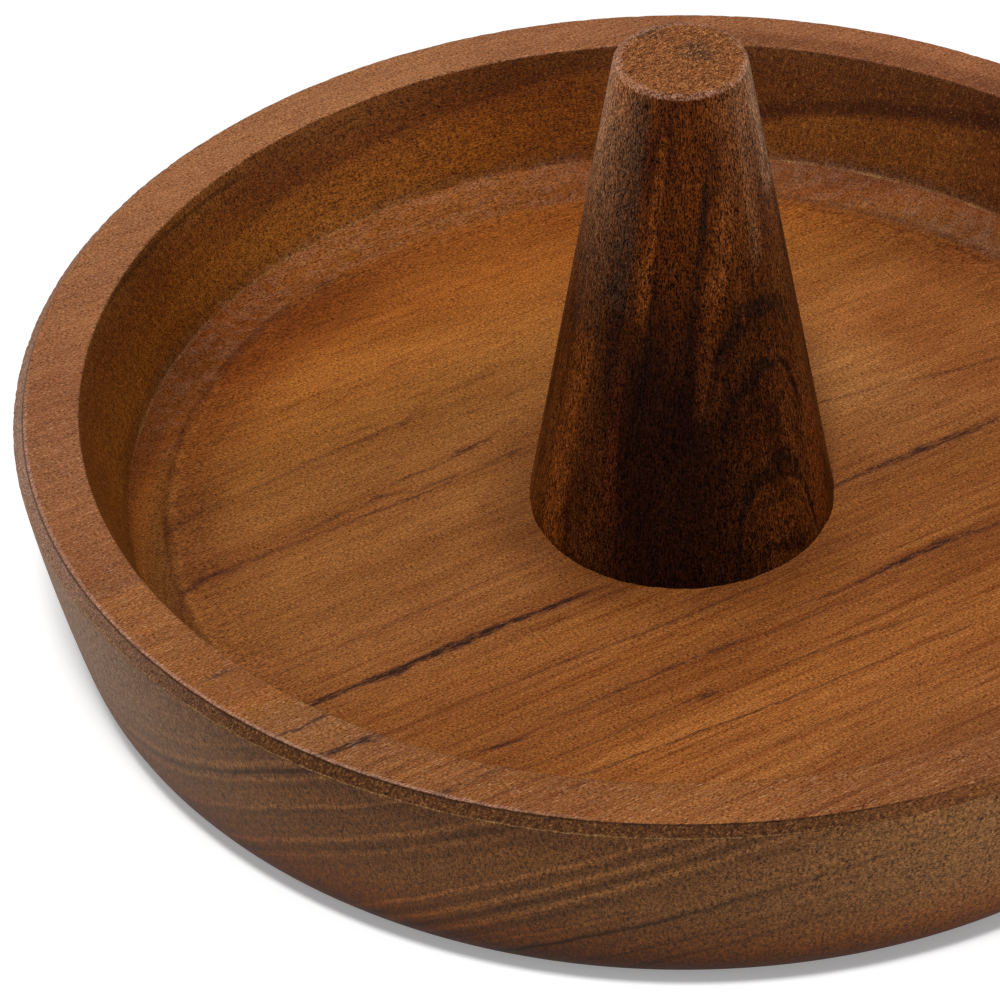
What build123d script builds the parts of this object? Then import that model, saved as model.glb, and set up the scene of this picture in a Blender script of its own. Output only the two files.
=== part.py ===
from build123d import *
import os

# A ring dish: a shallow round dish turned from one blank, with a tapered post for finger rings.
# Millimetres. The origin is the centre of the dish's foot, +Z up.

# Dish, from the flat top of its rim inwards and down
DISH_DIAMETER = 114.0
DISH_HEIGHT = 21.0
RIM_WIDTH = 4.7
RIM_CHAMFER_WIDTH = 0.9
RIM_CHAMFER_DROP = 0.85
MOUTH_EDGE_RADIUS = 0.25
WALL_DEPTH = 10.2
WALL_LEAN = 3.5
COVE_WIDTH = 3.8
COVE_DROP = 2.1
COVE_SAG = 0.35

# Dish, its outer side
FLANK_LEAN = 4.6
FLANK_SAG = 0.3
HEEL_RADIUS = 5.5

# Ring cone, a post with end grain at its top
CONE_BASE_DIAMETER = 26.5
CONE_TOP_DIAMETER = 11.0
CONE_HEIGHT = 45.2
CONE_CROWN_RADIUS = 0.5

# Countersunk wood screw that holds the ring cone from below
SCREW_LENGTH = 25.0
SCREW_DIAMETER = 4.0
SCREW_HEAD_DIAMETER = 8.0
SCREW_HEAD_EDGE = 0.4
SCREW_HEAD_TAPER = 2.0
SCREW_PLAIN_LENGTH = 9.0
SCREW_ROOT_DIAMETER = 2.7
SCREW_POINT_LENGTH = 3.2
THREAD_PITCH = 1.8
THREAD_FOOT = 0.9
RECESS_SPAN = 4.6
RECESS_SLOT = 1.0
RECESS_DEPTH = 1.7
RECESS_FLOOR_SPAN = 1.6

# Fits between the screw and the wood, and how far cuts run past a face
SCREW_SINK = 0.5
SEAT_CLEARANCE = 0.05
SHANK_CLEARANCE = 0.2
THREAD_CLEARANCE = 0.05
PILOT_TIP_CLEARANCE = 1.0
OVERRUN = 1.0

# Radii and heights that follow from the sizes above
dish_radius = DISH_DIAMETER / 2
rim_radius = dish_radius - RIM_CHAMFER_WIDTH
mouth_radius = rim_radius - RIM_WIDTH
crease_radius = mouth_radius - WALL_LEAN
toe_radius = crease_radius - COVE_WIDTH
heel_corner_radius = dish_radius - FLANK_LEAN
crease_z = DISH_HEIGHT - WALL_DEPTH
floor_z = crease_z - COVE_DROP
cone_base_radius = CONE_BASE_DIAMETER / 2
cone_top_radius = CONE_TOP_DIAMETER / 2
head_radius = SCREW_HEAD_DIAMETER / 2
shank_radius = SCREW_DIAMETER / 2
root_radius = SCREW_ROOT_DIAMETER / 2
screw_tip_z = SCREW_SINK + SCREW_LENGTH


def turned(outline):
    """Turn a closed outline, drawn as radius and height, about the Z axis."""
    return revolve(Plane.XZ * outline, Axis.Z)


def rounded(outline, corner, radius):
    """Round the corner of an outline that lies at the given point."""
    nearest = outline.vertices().sort_by_distance(corner)[0]
    return fillet(nearest, radius)


def countersunk_hole():
    """The tool that opens the dish's floor for the screw's shank and its head."""
    # the seat runs parallel to the head's taper, and on down to the foot
    taper_slope = (head_radius - shank_radius) / SCREW_HEAD_TAPER
    seat_top_z = SCREW_SINK + SCREW_HEAD_EDGE + SCREW_HEAD_TAPER
    seat_top_radius = shank_radius + SEAT_CLEARANCE
    mouth_z = -OVERRUN
    seat_mouth_radius = seat_top_radius + taper_slope * (seat_top_z - mouth_z)
    seat = Polyline(
        (0, mouth_z),
        (seat_mouth_radius, mouth_z),
        (seat_top_radius, seat_top_z),
        (0, seat_top_z),
        close=True,
    )
    bore_height = floor_z + OVERRUN
    bore = Cylinder(
        shank_radius + SHANK_CLEARANCE,
        bore_height,
        align=(Align.CENTER, Align.CENTER, Align.MIN),
    )
    return turned(make_face(seat)) + bore


def make_dish():
    """The dish: flat foot, leaning flank, chamfered flat rim, leaning inner wall, coved floor."""
    foot_centre = (0, 0)
    heel_corner = (heel_corner_radius, 0)
    flank_top = (dish_radius, DISH_HEIGHT - RIM_CHAMFER_DROP)
    rim_edge = (rim_radius, DISH_HEIGHT)
    mouth_edge = (mouth_radius, DISH_HEIGHT)
    crease = (crease_radius, crease_z)
    toe = (toe_radius, floor_z)
    floor_centre = (0, floor_z)
    edges = [
        Line(foot_centre, heel_corner),
        SagittaArc(heel_corner, flank_top, -FLANK_SAG),
        Polyline(flank_top, rim_edge, mouth_edge, crease),
        SagittaArc(crease, toe, COVE_SAG),
        Polyline(toe, floor_centre, foot_centre),
    ]
    outline = make_face(Curve() + edges)
    outline = rounded(outline, heel_corner, HEEL_RADIUS)
    outline = rounded(outline, mouth_edge, MOUTH_EDGE_RADIUS)
    return turned(outline) - countersunk_hole()


def make_ring_cone():
    """The post: a straight taper with a rounded crown edge and a blind pilot hole underneath."""
    crown_edge = (cone_top_radius, CONE_HEIGHT)
    taper = Polyline(
        (0, 0),
        (cone_base_radius, 0),
        crown_edge,
        (0, CONE_HEIGHT),
        close=True,
    )
    body = turned(rounded(make_face(taper), crown_edge, CONE_CROWN_RADIUS))
    pilot_radius = shank_radius + THREAD_CLEARANCE
    pilot_depth = screw_tip_z - floor_z + PILOT_TIP_CLEARANCE
    pilot = Polyline(
        (0, -OVERRUN),
        (pilot_radius, -OVERRUN),
        (pilot_radius, pilot_depth - pilot_radius),
        (0, pilot_depth),
        close=True,
    )
    return Pos(0, 0, floor_z) * (body - turned(make_face(pilot)))


def screw_thread(start_z, end_z):
    """One unbroken helical ridge with a triangular section, its crest at the shank's radius."""
    inner = root_radius - (shank_radius - root_radius) / 2
    ridge = Polyline(
        (inner, -THREAD_FOOT / 2),
        (shank_radius, 0),
        (inner, THREAD_FOOT / 2),
        close=True,
    )
    path = Helix(THREAD_PITCH, end_z - start_z, root_radius)
    section = Plane.XZ * make_face(ridge)
    return Pos(0, 0, start_z) * sweep(section, path, is_frenet=True)


def cross_recess():
    """The cross in the screw's head, narrowing towards its floor."""
    centred_up = (Align.CENTER, Align.CENTER, Align.MIN)
    slot = Box(RECESS_SPAN, RECESS_SLOT, RECESS_DEPTH, align=centred_up)
    cross = slot + Rot(0, 0, 90) * slot
    taper = Cone(RECESS_SPAN / 2, RECESS_FLOOR_SPAN / 2, RECESS_DEPTH, align=centred_up)
    return cross & taper


def make_cone_screw():
    """The wood screw, head down, point up."""
    head_top_z = SCREW_HEAD_EDGE + SCREW_HEAD_TAPER
    profile = Polyline(
        (0, 0),
        (head_radius, 0),
        (head_radius, SCREW_HEAD_EDGE),
        (shank_radius, head_top_z),
        (shank_radius, SCREW_PLAIN_LENGTH - THREAD_FOOT),
        (root_radius, SCREW_PLAIN_LENGTH),
        (root_radius, SCREW_LENGTH - SCREW_POINT_LENGTH),
        (0, SCREW_LENGTH),
        close=True,
    )
    thread = screw_thread(SCREW_PLAIN_LENGTH, SCREW_LENGTH - SCREW_POINT_LENGTH)
    screw = turned(make_face(profile)) + thread - cross_recess()
    return Pos(0, 0, SCREW_SINK) * screw


nodes = {
    "dish": make_dish(),
    "ring_cone": make_ring_cone(),
    "cone_screw": make_cone_screw(),
}

os.makedirs("parts", exist_ok=True)
for name, solid in nodes.items():
    export_step(solid, f"parts/{name}.step")
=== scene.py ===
import math

import bpy
from mathutils import Matrix, Vector


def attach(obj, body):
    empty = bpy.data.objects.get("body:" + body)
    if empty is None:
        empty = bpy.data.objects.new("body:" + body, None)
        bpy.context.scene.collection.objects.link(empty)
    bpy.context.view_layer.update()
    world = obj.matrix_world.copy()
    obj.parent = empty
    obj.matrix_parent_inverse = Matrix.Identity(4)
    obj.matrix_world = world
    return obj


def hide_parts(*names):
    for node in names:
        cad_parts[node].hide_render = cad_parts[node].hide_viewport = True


# A turned wooden ring dish with a darker ring cone screwed to its floor.
# The outlines are drawn in millimetres as (radius, height) and turned about the Z axis.

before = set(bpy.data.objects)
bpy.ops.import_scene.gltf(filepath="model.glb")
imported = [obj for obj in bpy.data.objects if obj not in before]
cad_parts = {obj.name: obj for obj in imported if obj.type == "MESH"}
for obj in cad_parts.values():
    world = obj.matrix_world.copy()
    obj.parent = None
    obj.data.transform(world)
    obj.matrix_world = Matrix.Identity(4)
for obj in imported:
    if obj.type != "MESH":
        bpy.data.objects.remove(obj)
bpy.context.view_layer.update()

MM = 0.001
# heights of the floor, the rim and the top of the cone
FLOOR, RIM, CONE_TOP = 8.7, 21.0, 53.9
# direction of the blank's grain in degrees
BLANK_GRAIN = 33.2
# the blank's growth layers: tilt, depth of their bend, where it starts and how wide it is
LAYER_TILT, LAYER_BEND, BEND_START, BEND_WIDTH = 0.08, 0.29, 3.0, 9.0
# degrees in a radian
DEGREES = 180 / math.pi


def clear_selection():
    """Leave nothing selected, in object mode."""
    if bpy.context.mode != "OBJECT":
        bpy.ops.object.mode_set(mode="OBJECT")
    bpy.ops.object.select_all(action="DESELECT")


def pick(piece):
    """Select one piece and make it the active one."""
    clear_selection()
    piece.select_set(True)
    bpy.context.view_layer.objects.active = piece


def at(radius, height):
    """A point of an outline in the XZ plane, in metres."""
    return Vector((radius * MM, 0, height * MM))


def arc(centre, radius, start, end, steps):
    """Points along an arc of an outline, angles in degrees from the radius axis."""
    points = []
    for k in range(steps + 1):
        a = math.radians(start + (end - start) * k / steps)
        points.append((centre[0] + radius * math.cos(a), centre[1] + radius * math.sin(a)))
    return points


def run(start, end, steps):
    """Points along a straight stretch of an outline, its first point left out."""
    points = []
    for k in range(1, steps + 1):
        t = k / steps
        points.append((start[0] + (end[0] - start[0]) * t, start[1] + (end[1] - start[1]) * t))
    return points


def turn_on_lathe(name, outline, segments):
    """Draw the outline point by point from one vertex, then spin it once round the Z axis."""
    clear_selection()
    bpy.ops.mesh.primitive_plane_add(size=MM)
    piece = bpy.context.object
    piece.name = name
    bpy.ops.object.mode_set(mode="EDIT")
    bpy.ops.mesh.select_all(action="SELECT")
    bpy.ops.mesh.merge(type="CENTER")
    bpy.ops.transform.translate(value=at(*outline[0]))
    for here, there in zip(outline, outline[1:]):
        step = at(*there) - at(*here)
        bpy.ops.mesh.extrude_vertices_move(TRANSFORM_OT_translate={"value": step})
    # one slice of the turn, then its copies round the axis
    slices = 12
    slice_angle = math.tau / slices
    bpy.ops.mesh.select_all(action="SELECT")
    bpy.ops.mesh.spin(steps=segments // slices, angle=slice_angle, center=(0, 0, 0), axis=(0, 0, 1))
    bpy.ops.mesh.select_all(action="SELECT")
    bpy.ops.mesh.spin(
        steps=slices - 1,
        dupli=True,
        angle=math.tau - slice_angle,
        center=(0, 0, 0),
        axis=(0, 0, 1),
    )
    bpy.ops.mesh.select_all(action="SELECT")
    bpy.ops.mesh.remove_doubles(threshold=0.000004)
    bpy.ops.mesh.normals_make_consistent(inside=False)
    bpy.ops.object.mode_set(mode="OBJECT")
    return piece


def mark_places(piece, name, share):
    """A vertex group whose weight at each point is share(radius, height), both in mm."""
    group = piece.vertex_groups.new(name=name)
    for vertex in piece.data.vertices:
        x, y, z = vertex.co / MM
        weight = share(math.hypot(x, y), z)
        if weight > 0.001:
            group.add([vertex.index], min(weight, 1.0), "REPLACE")


def worn_pattern(name, size, low, high):
    """A cloudy pattern for wear: 0 below low, 1 above high, with lumps of the given size in mm."""
    pattern = bpy.data.textures.new(name, "CLOUDS")
    pattern.noise_scale = size * MM
    pattern.noise_depth = 2
    pattern.use_color_ramp = True
    stops = pattern.color_ramp.elements
    stops[0].position = low
    stops[0].color = (0, 0, 0, 1)
    stops[1].position = high
    stops[1].color = (1, 1, 1, 1)
    return pattern


def wear(piece, group, pattern, depth):
    """Press the marked places in along their normals by up to depth mm, where the pattern is bright."""
    pick(piece)
    bpy.ops.object.modifier_add(type="DISPLACE")
    worn = piece.modifiers[-1]
    if pattern:
        worn.texture = pattern
    worn.texture_coords = "LOCAL"
    worn.direction = "NORMAL"
    worn.mid_level = 0.0
    worn.strength = -depth * MM
    worn.vertex_group = group
    bpy.ops.object.modifier_apply(modifier=worn.name)


def smooth_piece(piece, angle):
    pick(piece)
    bpy.ops.object.shade_smooth_by_angle(angle=math.radians(angle))


def bell(value, middle, reach):
    """1 at the middle, falling smoothly to 0 at reach."""
    t = abs(value - middle) / reach
    return max(0.0, 1.0 - t * t) ** 2


class Finish:
    """A material and short calls for the nodes that its colour, gloss and relief are mixed from."""

    def __init__(self, name):
        self.material = bpy.data.materials.new(name)
        self.material.use_nodes = True
        self.nodes = self.material.node_tree.nodes
        self.links = self.material.node_tree.links
        self.nodes.clear()
        self.surface = self.nodes.new("ShaderNodeBsdfPrincipled")
        output = self.nodes.new("ShaderNodeOutputMaterial")
        self.links.new(self.surface.outputs["BSDF"], output.inputs["Surface"])

    def plug(self, socket, value):
        if isinstance(value, bpy.types.NodeSocket):
            self.links.new(value, socket)
        elif value is not None:
            socket.default_value = value

    def place(self, turn=(0, 0, 0)):
        """Object coordinates in mm, turned by degrees round each axis."""
        coordinates = self.nodes.new("ShaderNodeTexCoord")
        return self.stretch(coordinates.outputs["Object"], (1 / MM, 1 / MM, 1 / MM), turn)

    def stretch(self, vector, scale, turn=(0, 0, 0), shift=(0, 0, 0)):
        mapping = self.nodes.new("ShaderNodeMapping")
        self.plug(mapping.inputs["Vector"], vector)
        mapping.inputs["Scale"].default_value = scale
        mapping.inputs["Rotation"].default_value = [math.radians(a) for a in turn]
        mapping.inputs["Location"].default_value = shift
        return mapping.outputs[0]

    def math(self, operation, a, b=None, c=None):
        node = self.nodes.new("ShaderNodeMath")
        node.operation = operation
        self.plug(node.inputs[0], a)
        self.plug(node.inputs[1], b)
        self.plug(node.inputs[2], c)
        return node.outputs[0]

    def add(self, *values):
        total = values[0]
        for value in values[1:]:
            total = self.math("ADD", total, value)
        return total

    def times(self, *values):
        total = values[0]
        for value in values[1:]:
            total = self.math("MULTIPLY", total, value)
        return total

    def scaled(self, value, factor, shift):
        """The value times the factor, plus the shift."""
        return self.math("MULTIPLY_ADD", value, factor, shift)

    def less(self, a, b):
        return self.math("SUBTRACT", a, b)

    def most(self, a, b):
        return self.math("MAXIMUM", a, b)

    def unsigned(self, value):
        return self.math("ABSOLUTE", value)

    def share_of(self, value, lowest, highest):
        """0 where the value is lowest, 1 where it is highest."""
        span = highest - lowest
        return self.scaled(value, 1 / span, -lowest / span)

    def split(self, vector):
        node = self.nodes.new("ShaderNodeSeparateXYZ")
        self.plug(node.inputs[0], vector)
        return node.outputs[0], node.outputs[1], node.outputs[2]

    def length(self, vector):
        node = self.nodes.new("ShaderNodeVectorMath")
        node.operation = "LENGTH"
        self.plug(node.inputs[0], vector)
        return node.outputs["Value"]

    def join(self, x, y, z):
        node = self.nodes.new("ShaderNodeCombineXYZ")
        self.plug(node.inputs[0], x)
        self.plug(node.inputs[1], y)
        self.plug(node.inputs[2], z)
        return node.outputs[0]

    def noise(self, vector, detail=2.0, roughness=0.5):
        node = self.nodes.new("ShaderNodeTexNoise")
        self.plug(node.inputs["Vector"], vector)
        node.inputs["Scale"].default_value = 1.0
        node.inputs["Detail"].default_value = detail
        node.inputs["Roughness"].default_value = roughness
        return node.outputs[0]

    def clouds(self, vector, scale, detail=2.0, roughness=0.5, shift=(0, 0, 0)):
        """Noise over a stretched place."""
        return self.noise(self.stretch(vector, scale, shift=shift), detail, roughness)

    def cells(self, vector):
        """Distance to the nearest of scattered points."""
        node = self.nodes.new("ShaderNodeTexVoronoi")
        self.plug(node.inputs["Vector"], vector)
        node.inputs["Scale"].default_value = 1.0
        return node.outputs["Distance"]

    def ease(self, value, start, end, low=0.0, high=1.0):
        """Goes smoothly from low to high while value goes from start to end."""
        node = self.nodes.new("ShaderNodeMapRange")
        node.interpolation_type = "SMOOTHSTEP"
        self.plug(node.inputs["Value"], value)
        self.plug(node.inputs["From Min"], start)
        self.plug(node.inputs["From Max"], end)
        self.plug(node.inputs["To Min"], low)
        self.plug(node.inputs["To Max"], high)
        return node.outputs[0]

    def between(self, value, start, end, soft):
        """1 from start to end, fading to 0 over a soft distance outside both."""
        return self.times(self.ease(value, start - soft, start), self.ease(value, end + soft, end))

    def near(self, value, middle, half):
        """1 at the middle, 0 from half a width away."""
        away = self.unsigned(self.less(value, middle))
        return self.ease(away, half, half * 0.35)

    def ramp(self, value, stops):
        """Colours along a value, each stop a position and a colour of 0 to 255."""
        node = self.nodes.new("ShaderNodeValToRGB")
        self.plug(node.inputs[0], value)
        self.set_stops(node, [(position, colour(*tone)) for position, tone in stops])
        return node.outputs[0]

    def grey_ramp(self, value, stops):
        """Grey levels along a value, each stop a position and a level of 0 to 1."""
        node = self.nodes.new("ShaderNodeValToRGB")
        self.plug(node.inputs[0], value)
        self.set_stops(node, [(position, (level, level, level, 1)) for position, level in stops])
        return node.outputs[0]

    def set_stops(self, node, stops):
        """Give a ramp its stops, each a position and four numbers."""
        elements = node.color_ramp.elements
        while len(elements) < len(stops):
            elements.new(0.5)
        for element, (position, numbers) in zip(elements, stops):
            element.position = position
            element.color = numbers

    def mix(self, share, a, b, way="MIX"):
        node = self.nodes.new("ShaderNodeMix")
        node.data_type = "RGBA"
        node.blend_type = way
        self.plug(node.inputs[0], share)
        self.plug(node.inputs[6], a)
        self.plug(node.inputs[7], b)
        return node.outputs[2]

    def filtered(self, tone, other):
        """The tone multiplied by another."""
        return self.mix(1.0, tone, other, "MULTIPLY")

    def tint(self, share, tone, red, green, blue):
        """The tone, multiplied by a colour as far as share goes: 255 leaves it as it is, more is paler."""
        return self.mix(share, tone, self.filtered(tone, colour(red, green, blue)))

    def shade(self, tone, light):
        """The tone times a lightness near 1, redder where it is dark."""
        light = self.most(light, 0.05)
        green, blue = self.math("POWER", light, 1.12), self.math("POWER", light, 1.25)
        return self.filtered(tone, self.join(light, green, blue))

    def fibres(self, grain, level, streak, fine, speck):
        """Lightness of the fibres, about the level: broad streaks, fine streaks and specks along the grain."""
        wide = self.clouds(grain, (0.07, 1.5, 1.5), 2.0)
        thin = self.clouds(grain, (0.6, 6.5, 6.5), 1.0, shift=(3, 1, 4))
        tiny = self.clouds(grain, (3.6, 10.0, 10.0), 1.0, 0.7, shift=(2, 5, 9))
        light = self.scaled(wide, streak, level - (streak + fine + speck) / 2)
        return self.scaled(tiny, speck, self.scaled(thin, fine, light))

    def relief(self, height, depth):
        """A bump whose height of 1 is depth mm."""
        node = self.nodes.new("ShaderNodeBump")
        node.inputs["Distance"].default_value = depth * MM
        self.plug(node.inputs["Height"], height)
        return node.outputs[0]

    def set(self, **values):
        for name, value in values.items():
            self.plug(self.surface.inputs[name.replace("_", " ")], value)


def colour(red, green, blue):
    """A colour written as 0 to 255 on the screen."""
    parts = []
    for part in (red, green, blue):
        part = part / 255
        parts.append(part / 12.92 if part <= 0.04045 else ((part + 0.055) / 1.055) ** 2.4)
    return (*parts, 1.0)


def layer_at(across, height):
    """Number of the growth layer at a place in the dish's blank, across the grain and up, in mm."""
    bend = across - BEND_START
    return height - LAYER_TILT * across - LAYER_BEND * (bend + math.hypot(bend, BEND_WIDTH))


# Tones of the dish's layers, from the front right down to the back left: (across, height) of a place, tone
LAYER_TONES = [
    ((56, 2), (152, 92, 46)),
    ((44, FLOOR), (156, 96, 52)),
    ((38, FLOOR), (173, 108, 58)),
    ((34, FLOOR), (190, 121, 62)),
    ((30, FLOOR), (192, 120, 60)),
    ((26, FLOOR), (194, 122, 59)),
    ((23, FLOOR), (178, 109, 52)),
    ((19, FLOOR), (165, 99, 48)),
    ((16, FLOOR), (182, 114, 54)),
    ((13.5, FLOOR), (174, 107, 54)),
    ((10.5, FLOOR), (182, 114, 54)),
    ((8, FLOOR), (172, 108, 55)),
    ((5, FLOOR), (168, 104, 52)),
    ((1, FLOOR), (170, 107, 55)),
    ((-3, FLOOR), (172, 110, 56)),
    ((-9, FLOOR), (176, 113, 57)),
    ((-13, FLOOR), (166, 103, 50)),
    ((-18, FLOOR), (174, 112, 55)),
    ((-23, FLOOR), (172, 109, 49)),
    ((-29, FLOOR), (192, 120, 53)),
    ((-36, FLOOR), (190, 111, 44)),
    ((-44, FLOOR), (172, 100, 41)),
    ((-52, 14), (184, 106, 42)),
    ((-52, 17), (172, 96, 42)),
    ((-53, 21), (180, 112, 60)),
]

# Dark veins of the floor: points along each one, as place along and across the grain, half the width in mm
# and strength
FLOOR_VEINS = [
    [(-41.5, 6.6, 0.38, 0.85), (-36, 6.75, 0.34, 0.95), (-33, 6.95, 0.62, 1), (-30.8, 6.75, 0.34, 0.95),
     (-27, 6.75, 0.62, 1), (-23, 6.6, 0.45, 1), (-20.5, 6.85, 0.31, 0.95), (-17.5, 7, 0.43, 1),
     (-14.5, 7, 0.3, 0.8), (-12.5, 7.1, 0.25, 0.5)],
    [(9, 6.9, 0.3, 0.5), (12, 6.7, 0.34, 0.6), (16, 6.5, 0.46, 0.72), (21, 6.6, 0.6, 0.78),
     (26, 6.8, 0.5, 0.72), (33, 6.6, 0.36, 0.5), (43, 6.8, 0.26, 0.34)],
    [(-42.5, 12.6, 0.36, 0.69), (-39, 13, 0.6, 0.86), (-37.6, 13.3, 0.24, 0.34),
     (-27, 13.4, 0.19, 0.39), (-21, 13.5, 0.24, 0.6), (-13, 14.1, 0.24, 0.6), (-5, 14.3, 0.24, 0.52),
     (2, 14.5, 0.22, 0.43)],
    [(-32.3, 19.3, 0.19, 0.6), (-30.5, 19.6, 0.41, 0.77), (-28.6, 19.9, 0.22, 0.6), (-27.5, 20, 0.12, 0.17),
     (-14, 20.3, 0.14, 0.34), (-3, 20, 0.22, 0.43), (2, 19.9, 0.24, 0.6), (8, 20.1, 0.14, 0.34)],
    [(-25, 19.1, 0.19, 0.43), (-21, 19.2, 0.24, 0.65), (-13, 19.1, 0.24, 0.65),
     (-8.5, 19.2, 0.43, 0.73), (-5, 19.5, 0.18, 0.43)],
    [(-14, 18.2, 0.14, 0.3), (-2, 18.2, 0.24, 0.52), (5, 18.6, 0.24, 0.6), (9, 18.3, 0.36, 0.86),
     (15, 18, 0.48, 0.86), (19, 18.5, 0.26, 0.69), (27, 18.4, 0.24, 0.52), (38, 18.2, 0.18, 0.34)],
    [(-38, 21.9, 0.36, 0.52), (-32, 22, 0.3, 0.34), (-30, 23.1, 0.17, 0.43),
     (-24, 23.5, 0.19, 0.43), (-14.5, 23.5, 0.24, 0.52), (-13, 23.6, 0.41, 0.73),
     (-11, 23.7, 0.18, 0.43), (-5, 23.9, 0.24, 0.6), (1, 24.1, 0.22, 0.52), (4, 24.6, 0.26, 0.6),
     (9, 25, 0.18, 0.34)],
    [(-27.5, 26.1, 0.18, 0.43), (-25.6, 26.5, 0.26, 0.69), (-20, 26.8, 0.19, 0.6), (-14, 27.3, 0.19, 0.6),
     (-8, 27.7, 0.2, 0.65), (0, 27.9, 0.18, 0.52), (10, 28.3, 0.18, 0.52)],
    [(-18, 31.6, 0.18, 0.34), (-9, 31.7, 0.24, 0.43), (2, 32.1, 0.18, 0.43), (12, 32.4, 0.18, 0.34)],
    [(-43.5, 1.9, 0.36, 0.3), (-34, 1.5, 0.36, 0.43), (-28, 1.5, 0.36, 0.47), (-22, 1, 0.3, 0.43),
     (-13, 0.8, 0.26, 0.39)],
    [(-43, -11.8, 0.6, 0.6), (-40.5, -12.5, 0.5, 0.66), (-38.2, -12.3, 0.45, 0.6),
     (-35, -12.4, 0.35, 0.5), (-28, -12.2, 0.3, 0.46), (-24, -12.3, 0.26, 0.6),
     (-19.5, -12.1, 0.24, 0.65), (-13, -12.3, 0.19, 0.43), (-7, -12.5, 0.19, 0.39)],
    [(-34, -13.2, 0.36, 0.26), (-29, -13.3, 0.36, 0.52), (-26.5, -13.6, 0.38, 0.65),
     (-24.6, -13.4, 0.24, 0.26), (-22.3, -14, 0.36, 0.69), (-20.8, -13.6, 0.3, 0.34),
     (-19.6, -12.8, 0.36, 0.43), (-16, -12.7, 0.38, 0.6), (-13.5, -12.6, 0.24, 0.26),
     (-9.5, -12.7, 0.36, 0.6), (-7.5, -12.7, 0.24, 0.34)],
    [(-21, -14.7, 0.19, 0.3), (-18.5, -14.8, 0.36, 0.65), (-15, -14.8, 0.24, 0.43),
     (-13.2, -15.4, 0.48, 0.73), (-10, -15.5, 0.3, 0.6), (-8.6, -16.2, 0.24, 0.34),
     (-6.8, -16.4, 0.36, 0.43)],
    [(-40.5, -19.3, 0.36, 0.43), (-37.5, -20.6, 0.36, 0.47), (-30, -20.9, 0.36, 0.43),
     (-23.5, -21.4, 0.36, 0.47), (-15, -21.6, 0.3, 0.52), (-13, -22.8, 0.72, 0.3),
     (-11, -23.5, 0.48, 0.34), (-5, -23.9, 0.36, 0.34), (2, -24.2, 0.3, 0.3)],
    [(12, -4.4, 0.26, 0.5), (18, -3.6, 0.34, 0.6), (24, -2.6, 0.24, 0.4), (30, -1, 0.3, 0.6),
     (40, 0.5, 0.24, 0.4)],
]
# and of the rim's top
RIM_VEINS = [
    [
        (-56, 24.7, 0.3, 0.8), (-50, 24.9, 0.36, 1), (-46.5, 25.1, 0.4, 1), (-45.3, 25.3, 0.6, 0.9),
        (-44.2, 25.4, 0.2, 0.3),
    ],
    [(-53, 21, 0.2, 0.6), (-50, 21.2, 0.32, 0.9), (-46.5, 21, 0.2, 0.7)],
    [(-57, -2.3, 1, 0.4), (-51, -2.2, 0.8, 0.4)],
    [(-54, 12.1, 0.2, 0.4), (-52, 12.1, 0.32, 0.7), (-50, 12.2, 0.25, 0.6)],
    [(-46, 33.7, 0.3, 0.7), (-42.5, 33.9, 0.35, 0.7), (-38, 33.9, 0.25, 0.5)],
]

# Growth rings on the outside in groups: bearings of the ends from the front, layers climbed per degree,
# then each line's layer, half its width, and lightness: 1 is the wood's own, more is paler
BACK_RINGS = [
    (6.2, 0.5, 0.84), (8.1, 0.3, 1.26), (11, 0.45, 0.82), (13.4, 0.35, 1.3), (15.9, 0.5, 0.85),
    (18.3, 0.3, 1.22), (20.7, 0.4, 0.86),
]
RING_GROUPS = [
    (66, 138, 0, [
        (-12.4, 0.4, 0.84), (-10, 0.3, 1.26), (-7.2, 0.5, 0.8), (-3.6, 0.35, 1.3), (-0.2, 0.5, 0.82),
        (3.1, 0.3, 1.26), (7.4, 0.5, 0.84),
    ]),
    (152, 180, 0, BACK_RINGS),
    (-180, -98, 0, BACK_RINGS),
    (-66, -28, 0, [
        (3, 0.5, 0.86), (3.8, 0.3, 1.35), (4.75, 0.35, 0.55), (5.7, 0.45, 1.4), (7.2, 0.5, 0.9),
        (8, 0.3, 1.2),
    ]),
    (-50, -12, 0, [
        (-6.2, 0.4, 0.86), (-5.3, 0.22, 1.25), (-4.4, 0.5, 0.8), (-3.4, 0.4, 1.45),
        (-1.4, 0.6, 0.9), (-0.3, 0.5, 0.84), (0.5, 0.3, 1.35),
    ]),
    (-34, 12, 0.085, [
        (-15.4, 0.5, 0.8), (-14.3, 0.35, 1.45), (-13.3, 0.45, 0.66), (-12.2, 0.35, 1.5),
        (-11.2, 0.5, 0.8), (-10.1, 0.3, 1.45),
    ]),
    (-18, 48, 0.02, [
        (-23.2, 0.3, 0.62), (-21.2, 0.2, 0.74), (-20.3, 0.3, 1.12), (-18.2, 0.28, 0.5),
        (-17.5, 0.25, 1.15), (-16.7, 0.26, 1.3), (-15.9, 0.4, 1.1),
    ]),
]


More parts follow.
